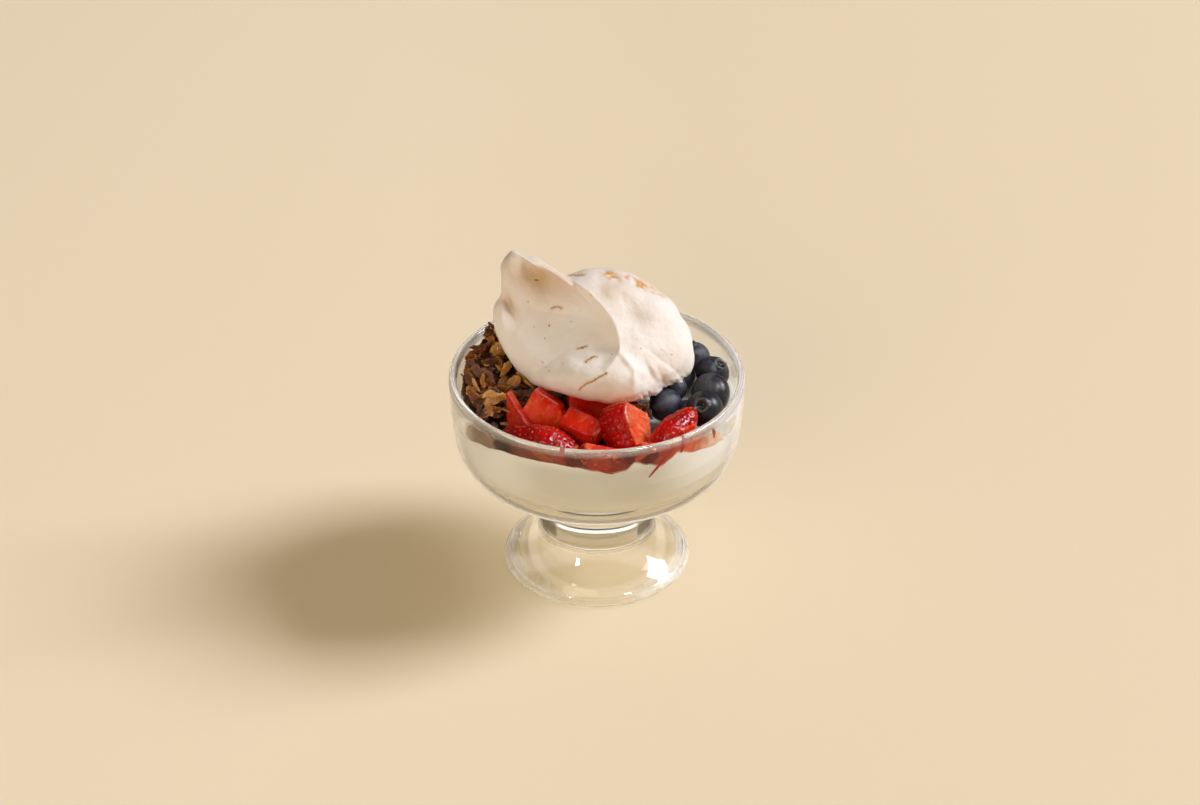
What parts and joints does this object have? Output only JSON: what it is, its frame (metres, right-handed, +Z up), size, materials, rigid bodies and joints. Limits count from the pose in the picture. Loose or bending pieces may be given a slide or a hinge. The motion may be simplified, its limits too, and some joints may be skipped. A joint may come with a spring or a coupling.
{
  "type": "berries and cream in a footed glass dish",
  "caption": "Footed glass dessert dish filled with white cream, topped with strawberry pieces, blueberries, toasted oat clusters and one large folded meringue.",
  "frame": {"origin": "centre of the foot, on the surface that the dish stands on", "axes": "+Z up along the stem of the dish, -Y towards the front where the strawberries lie, +X towards the blueberries"},
  "size_m": [0.1052, 0.1052, 0.1231],
  "materials": {
    "glass": "clear, smooth, thick walled",
    "meringue": "dry baked egg white, matte, hairline cracks and pores",
    "blueberry": "dark skin with a pale waxy bloom",
    "strawberry": "wet red skin with seeds, paler cut faces",
    "granola": "toasted oats, dark brown with golden edges",
    "cream": "smooth thick white cream"
  },
  "bodies": {
    "root": {"glass_dish": "glass", "meringue": "meringue", "blueberry_1": "blueberry", "blueberry_2": "blueberry", "blueberry_3": "blueberry", "blueberry_4": "blueberry", "blueberry_5": "blueberry", "blueberry_6": "blueberry", "blueberry_7": "blueberry", "blueberry_8": "blueberry", "blueberry_9": "blueberry", "blueberry_10": "blueberry", "strawberry_1": "strawberry", "strawberry_2": "strawberry", "strawberry_3": "strawberry", "strawberry_4": "strawberry", "strawberry_5": "strawberry", "strawberry_6": "strawberry", "strawberry_7": "strawberry", "strawberry_8": "strawberry", "strawberry_9": "strawberry", "strawberry_10": "strawberry", "granola": "granola", "cream": "cream"}
  },
  "joints": []
}
